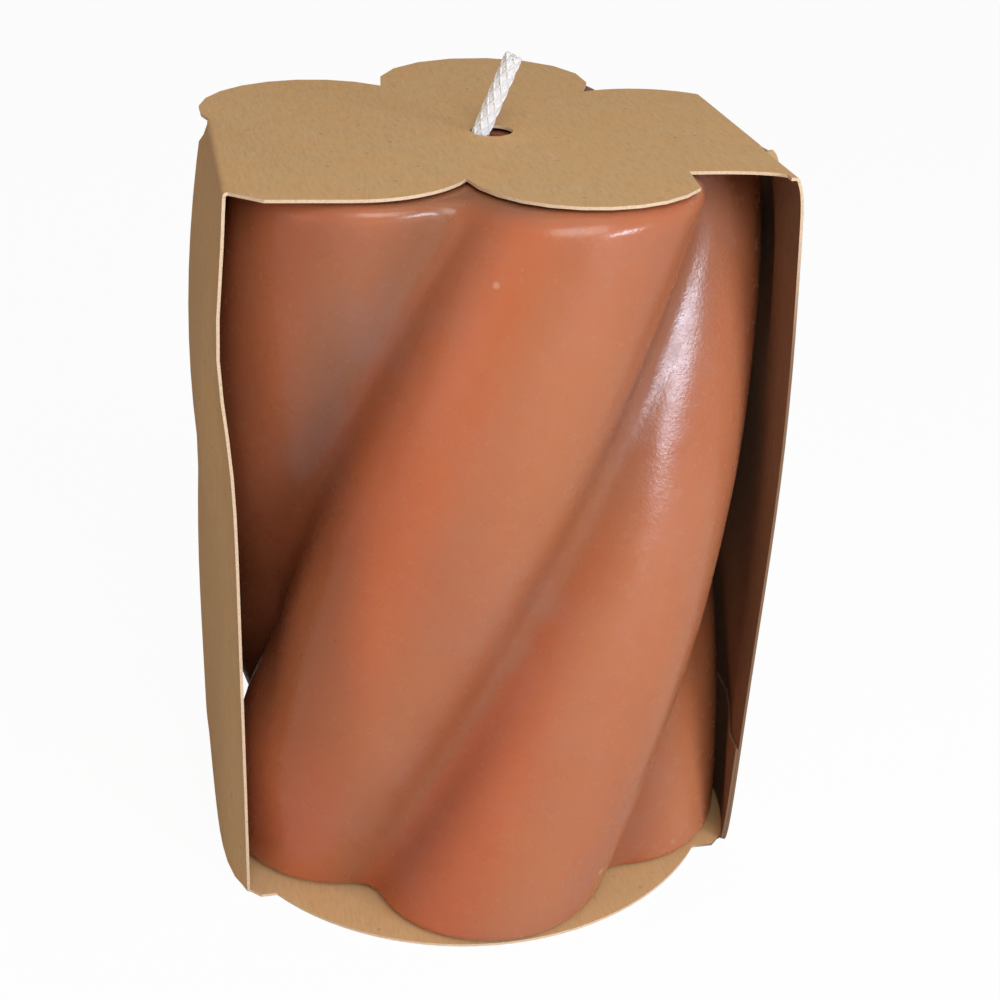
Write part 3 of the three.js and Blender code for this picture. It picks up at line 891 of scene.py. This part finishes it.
class CANDLE_OT_wrap(bpy.types.Operator):
    """Finish the five panels of the board wrap"""

    bl_idname = "candle.wrap"
    bl_label = "Board wrap"

    def execute(self, context):
        settings = context.scene.candle_board
        faces = {
            "flat": kraft_material(settings, "kraft_cards", settings.colour, ALONG_DEPTH),
            "upright": kraft_material(settings, "kraft_panels", settings.colour, ALONG_HEIGHT),
        }
        # Painted shade: a darker copy of the kraft for the side panels' inner faces.
        inside = kraft_material(settings, "kraft_inside", settings.inside, ALONG_HEIGHT)
        cut = cut_material(settings)
        for node, (name, body, kind) in BOARDS.items():
            obj = board_copy(node)
            paint(obj, faces[kind], cut, inside)
            if node == "left_panel":
                trim(obj, settings)
            for face in obj.data.polygons:
                if is_cut(face, obj, kind, settings.thickness):
                    face.material_index = 1
                # The inner faces of the upright panels get the painted shade material.
                elif kind == "upright" and face.normal.x * face.center.x < 0:
                    face.material_index = 2
            smooth(obj, 32)
            hand_over(obj, name, body, (node,))
        return {"FINISHED"}


# Stage, lamps and camera

AIM = (0, 0, 0.06)
# Place, size, colour and tilt of each lamp; its power is a setting of the same name.
LAMPS = {
    "key": ((0, -0.55, 0.5), (0.4, 0.4), (0.94, 0.98, 1.0), 0),
    "window": ((0.4, -0.6, 0.215), (0.32, 0.045), (0.74, 0.83, 1.0), math.radians(16)),
    "fill": ((-0.6, -0.35, 0.1), (0.4, 0.4), (1.0, 0.8, 0.66), 0),
    "top": ((0, -0.1, 0.75), (0.4, 0.4), (1.0, 0.98, 0.96), 0),
}
SKY_COLOUR = (1.0, 0.88, 0.8, 1)
WHITE = (1, 1, 1, 1)
FRAME_MM = 36
CURVE_SEGMENTS = 16  # of the curve between the floor and the backdrop


def area_lamp(name, power, place, size, colour, tilt):
    deselect()
    bpy.ops.object.light_add(type="AREA", location=place)
    lamp = bpy.context.object
    lamp.name = name
    turn = (Vector(AIM) - Vector(place)).to_track_quat("-Z", "Y")
    lamp.rotation_euler = (turn @ Quaternion((0, 0, 1), tilt)).to_euler()
    lamp.data.shape = "RECTANGLE"
    lamp.data.size, lamp.data.size_y = size
    lamp.data.energy = power
    lamp.data.color = colour


class CANDLE_OT_stage(bpy.types.Operator):
    """Set the floor, the lamps and the camera"""

    bl_idname = "candle.stage"
    bl_label = "Stage"

    def execute(self, context):
        settings = context.scene.candle_stage
        self.floor(settings)
        self.lamps(context.scene, settings)
        self.camera(context.scene, settings)
        context.scene.view_settings.view_transform = "Standard"
        return {"FINISHED"}

    def floor(self, settings):
        deselect()
        bpy.ops.mesh.primitive_plane_add(size=settings.floor_size, location=(0, 0, 0))
        floor = bpy.context.object
        floor.name = "floor"
        settle(floor)
        half = settings.floor_size / 2
        pick(floor, "EDGE", lambda a, b: min(a.y, b.y) > half - MM)
        bpy.ops.mesh.extrude_region_move(TRANSFORM_OT_translate={"value": (0, 0, half)})
        pick(floor, "EDGE", lambda a, b: min(a.y, b.y) > half - MM and max(a.z, b.z) < MM)
        bpy.ops.mesh.bevel(offset=half / 3, segments=CURVE_SEGMENTS, affect="EDGES", profile=0.5)
        mode("OBJECT")
        smooth(floor, 40)
        floor.data.materials.append(stage_material(settings))

    def lamps(self, scene, settings):
        world = bpy.data.worlds.new("daylight")
        scene.world = world
        world.use_nodes = True
        nodes = world.node_tree.nodes
        nodes.clear()
        sky = nodes.new("ShaderNodeBackground")
        sky.inputs["Color"].default_value = SKY_COLOUR
        sky.inputs["Strength"].default_value = settings.daylight
        white = nodes.new("ShaderNodeBackground")
        white.inputs["Color"].default_value = WHITE
        white.inputs["Strength"].default_value = 1.0
        rays = nodes.new("ShaderNodeLightPath")
        blend = nodes.new("ShaderNodeMixShader")
        output = nodes.new("ShaderNodeOutputWorld")
        links = world.node_tree.links
        links.new(rays.outputs["Is Camera Ray"], blend.inputs["Fac"])
        links.new(sky.outputs[0], blend.inputs[1])
        links.new(white.outputs[0], blend.inputs[2])
        links.new(blend.outputs[0], output.inputs["Surface"])
        for name, values in LAMPS.items():
            area_lamp(name, getattr(settings, name), *values)

    def camera(self, scene, settings):
        deselect()
        bpy.ops.object.camera_add(location=settings.camera_place)
        camera = bpy.context.object
        camera.name = "camera"
        yaw, pitch, roll = settings.yaw, settings.pitch, settings.roll
        run = math.cos(pitch)
        ahead = Vector((-math.sin(yaw) * run, math.cos(yaw) * run, -math.sin(pitch)))
        level = Vector((math.cos(yaw), math.sin(yaw), 0))
        above = level.cross(ahead)
        right = math.cos(roll) * level + math.sin(roll) * above
        up = math.cos(roll) * above - math.sin(roll) * level
        matrix = camera.matrix_world.copy()
        for row in range(3):
            matrix[row][0], matrix[row][1], matrix[row][2] = right[row], up[row], -ahead[row]
        camera.matrix_world = matrix
        camera.data.lens = settings.lens
        camera.data.sensor_fit = "HORIZONTAL"
        camera.data.sensor_width = FRAME_MM
        camera.data.clip_start = 0.01
        camera.data.dof.use_dof = False
        scene.camera = camera


# Sidebar panel and registration

STEPS = (CANDLE_OT_stage, CANDLE_OT_wax, CANDLE_OT_wick, CANDLE_OT_wrap)
GROUPS = {
    "candle_wax": WaxSettings,
    "candle_wick": WickSettings,
    "candle_board": BoardSettings,
    "candle_stage": StageSettings,
}


class CANDLE_PT_panel(bpy.types.Panel):
    """Lists the steps and their settings"""

    bl_idname = "CANDLE_PT_panel"
    bl_label = "Twisted Pillar Candle"
    bl_space_type = "VIEW_3D"
    bl_region_type = "UI"
    bl_category = "Candle"

    def draw(self, context):
        for step in STEPS:
            self.layout.operator(step.bl_idname)
        for group in GROUPS:
            box = self.layout.box()
            settings = getattr(context.scene, group)
            for name in settings.__annotations__:
                box.prop(settings, name)


CLASSES = (*GROUPS.values(), *STEPS, CANDLE_PT_panel)


def register():
    for cls in CLASSES:
        bpy.utils.register_class(cls)
    for name, group in GROUPS.items():
        setattr(bpy.types.Scene, name, bpy.props.PointerProperty(type=group))


def unregister():
    for name in GROUPS:
        delattr(bpy.types.Scene, name)
    for cls in reversed(CLASSES):
        bpy.utils.unregister_class(cls)


def main():
    register()
    bpy.ops.candle.stage()
    bpy.ops.candle.wax()
    bpy.ops.candle.wick()
    bpy.ops.candle.wrap()


if __name__ == "__main__":
    main()
